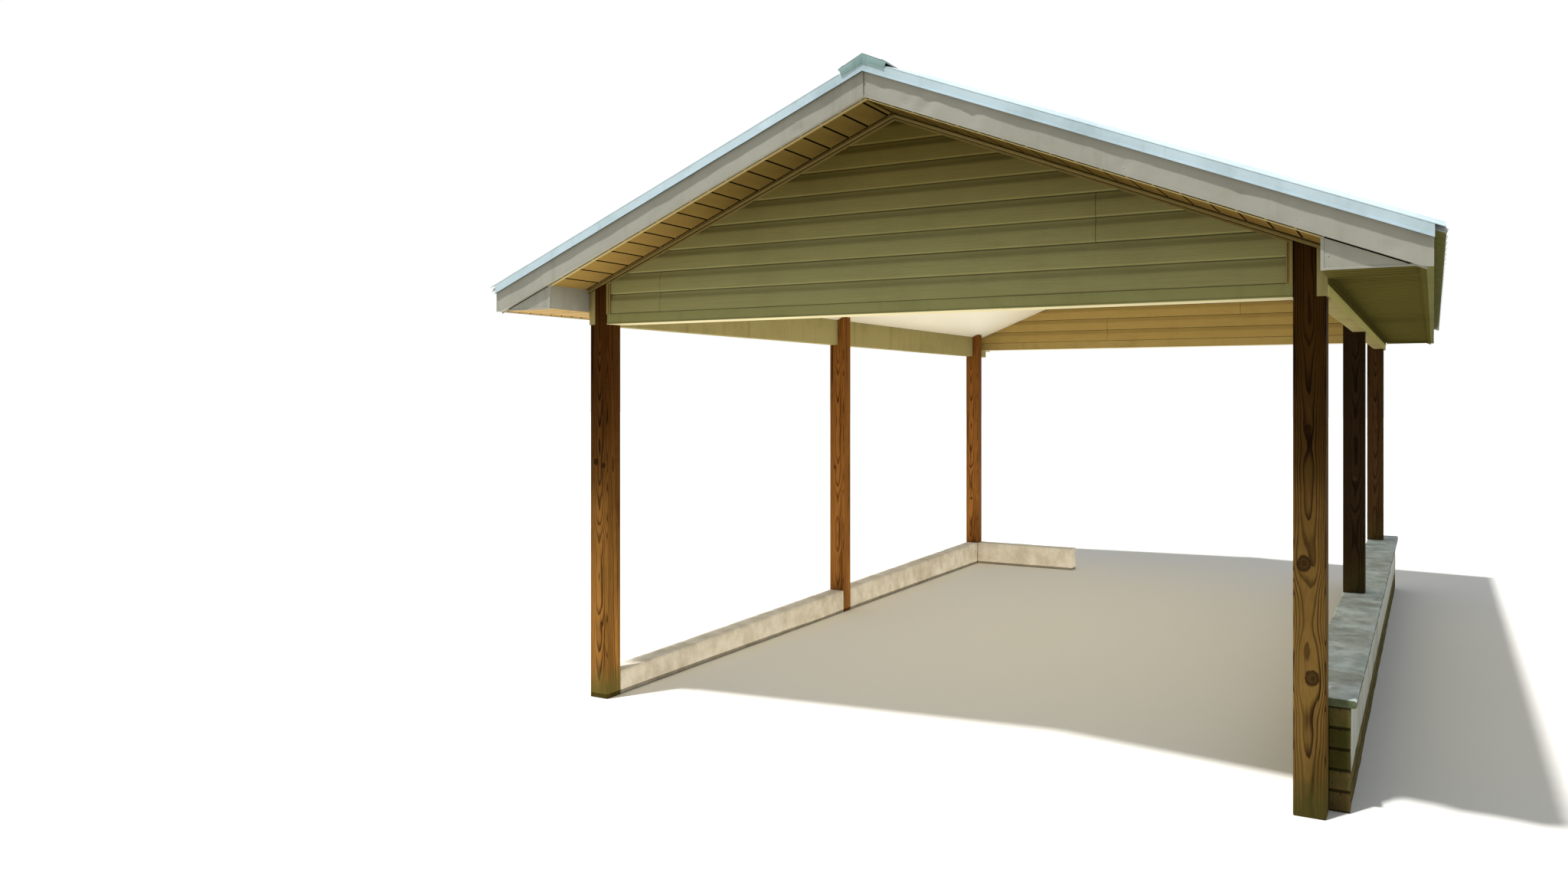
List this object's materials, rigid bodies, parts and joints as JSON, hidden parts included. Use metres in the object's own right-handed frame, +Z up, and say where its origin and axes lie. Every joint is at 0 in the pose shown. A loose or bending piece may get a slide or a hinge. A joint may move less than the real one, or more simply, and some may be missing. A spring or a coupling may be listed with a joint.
{
  "type": "carport",
  "caption": "Open-sided gable carport with timber posts, sided gable ends, boxed eaves, a vaulted ceiling and a metal roof.",
  "frame": {"origin": "on the ground, midway between the left and right posts and midway along the roof", "axes": "+X to the right seen from the open front, +Y towards the back, +Z up"},
  "size_m": [5.2714, 8.122, 3.7331],
  "materials": {
    "post_wood": "weathered treated pine",
    "beam_wrap": "satin coated sheet",
    "siding": "satin embossed vinyl",
    "siding_trim": "satin vinyl",
    "ceiling_panel": "satin white panel",
    "roof_timber": "raw sawn softwood",
    "roof_metal": "ribbed steel sheet",
    "roof_trim": "coated steel flashing",
    "fascia_wrap": "coated sheet with small dents",
    "soffit": "grooved vinyl",
    "curb_concrete": "rough stained concrete",
    "wall_timber": "mossy weathered timber",
    "cap_concrete": "brushed mottled concrete",
    "wall_sheet": "dirty white coated sheet"
  },
  "bodies": {
    "root": {"post_front_left": "post_wood", "post_front_right": "post_wood", "post_mid_left": "post_wood", "post_mid_right": "post_wood", "post_back_left": "post_wood", "post_back_right": "post_wood", "side_beam_left": "beam_wrap", "side_beam_right": "beam_wrap", "front_header": "beam_wrap", "back_header": "beam_wrap", "front_gable_siding": "siding", "back_gable_siding": "siding", "front_gable_trim": "siding_trim", "back_gable_trim": "siding_trim", "ceiling_left": "ceiling_panel", "ceiling_right": "ceiling_panel", "rafters_left": "roof_timber", "rafters_right": "roof_timber", "ridge_board": "roof_timber", "roof_panel_left": "roof_metal", "roof_panel_right": "roof_metal", "ridge_cap": "roof_trim", "front_rake_trim": "roof_trim", "back_rake_trim": "roof_trim", "rake_fascia_front_left": "fascia_wrap", "rake_soffit_front_left": "soffit", "eave_return_front_left": "fascia_wrap", "rake_fascia_front_right": "fascia_wrap", "rake_soffit_front_right": "soffit", "eave_return_front_right": "fascia_wrap", "rake_fascia_back_left": "fascia_wrap", "rake_soffit_back_left": "soffit", "eave_return_back_left": "fascia_wrap", "rake_fascia_back_right": "fascia_wrap", "rake_soffit_back_right": "soffit", "eave_return_back_right": "fascia_wrap", "eave_fascia_left": "fascia_wrap", "eave_soffit_left": "soffit", "eave_fascia_right": "fascia_wrap", "eave_soffit_right": "soffit", "left_curb_front": "curb_concrete", "left_curb_back": "curb_concrete", "back_curb": "curb_concrete", "wall_course_1": "wall_timber", "wall_course_2": "wall_timber", "wall_course_3": "wall_timber", "wall_course_4": "wall_timber", "wall_course_5": "wall_timber", "wall_cap_front": "cap_concrete", "wall_cap_back": "cap_concrete", "wall_face_sheet": "wall_sheet"}
  },
  "joints": []
}
